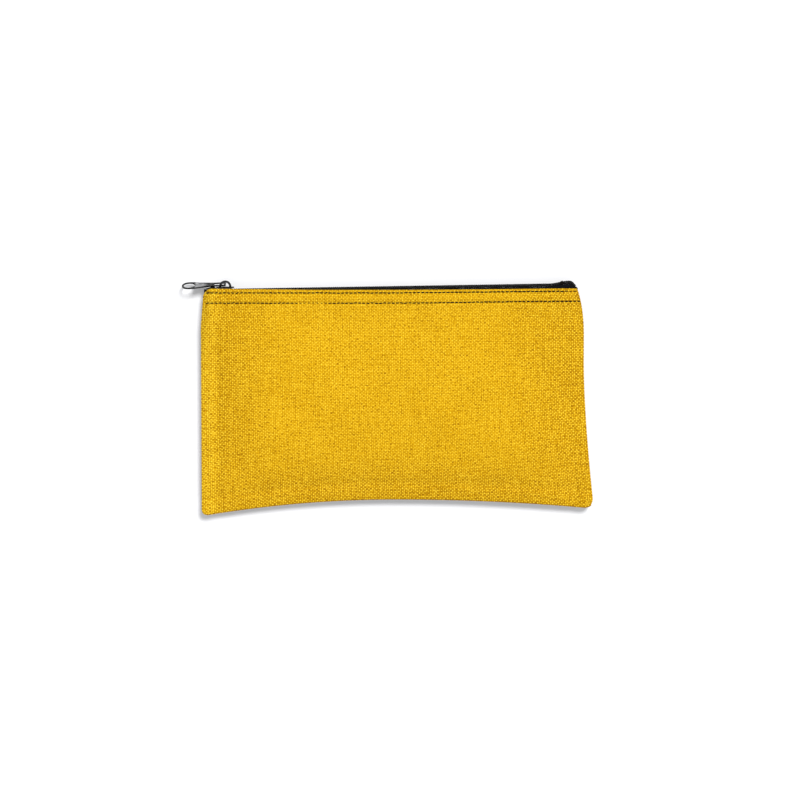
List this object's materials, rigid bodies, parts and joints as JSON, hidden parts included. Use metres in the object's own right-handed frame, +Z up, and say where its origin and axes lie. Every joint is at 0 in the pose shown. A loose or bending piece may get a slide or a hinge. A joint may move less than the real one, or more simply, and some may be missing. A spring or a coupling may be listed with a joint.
{
  "type": "zipped cash deposit bag",
  "caption": "Flat canvas bank deposit bag with a nylon coil zipper along the top, a metal slider with a long pull tab, topstitched hems and turned-in seams.",
  "frame": {"origin": "the middle of the flat face of the back wall, which the bag rests on; the two walls are sewn together 8 mm in front of it and the lowest corner is 75 mm below it", "axes": "+X along the zipper from the closed slider to the far end, -Y the front wall, +Y the back wall, +Z up to the mouth"},
  "size_m": [0.2934, 0.0191, 0.1681],
  "materials": {
    "canvas": "coarse plain weave, matt",
    "zipper_tape": "fine woven tape, matt",
    "coil_nylon": "satin nylon",
    "core_cord": "twisted cord",
    "black_thread": "twisted sewing thread",
    "yellow_thread": "twisted sewing thread",
    "slider_metal": "black electroplated, worn at the edges",
    "pull_metal": "black electroplated rim, brighter faces"
  },
  "bodies": {
    "back_wall": {"back_coil": "coil_nylon", "back_coil_thread": "black_thread", "back_core_cord": "core_cord", "back_lower_stitches": "black_thread", "back_panel": "canvas", "back_upper_stitches": "black_thread", "back_zipper_tape": "zipper_tape", "bottom_overlock_thread": "yellow_thread", "bottom_seam_thread": "yellow_thread", "left_overlock_thread": "yellow_thread", "left_seam_thread": "yellow_thread", "left_tack": "black_thread", "right_overlock_thread": "yellow_thread", "right_seam_thread": "yellow_thread", "right_tack": "black_thread"},
    "front_wall": {"front_coil": "coil_nylon", "front_coil_thread": "black_thread", "front_core_cord": "core_cord", "front_lower_stitches": "black_thread", "front_panel": "canvas", "front_upper_stitches": "black_thread", "front_zipper_tape": "zipper_tape"},
    "slider": {"slider_body": "slider_metal"},
    "pull": {"pull_tab": "pull_metal"}
  },
  "joints": [
    {"name": "zipper_slide", "type": "slide", "parent": "back_wall", "child": "slider", "axis": [0.9999, 0, 0.0162], "range_m": [0, 0.2325]},
    {"name": "pull_swing", "type": "hinge", "parent": "slider", "child": "pull", "pos_m": [-0.12228, -0.008, 0.09032], "axis": [0, 1, 0], "range_deg": [0, 175]},
    {"name": "mouth_opening", "type": "hinge", "parent": "back_wall", "child": "front_wall", "pos_m": [0, -0.008, -0.075], "axis": [1, 0, 0], "range_deg": [0, 16], "deforming": ["front_zipper_tape", "front_coil", "front_core_cord", "front_coil_thread"]}
  ],
  "couplings": [
    {"joint": "mouth_opening", "follows": "zipper_slide", "rad_per_m": 1.2}
  ]
}
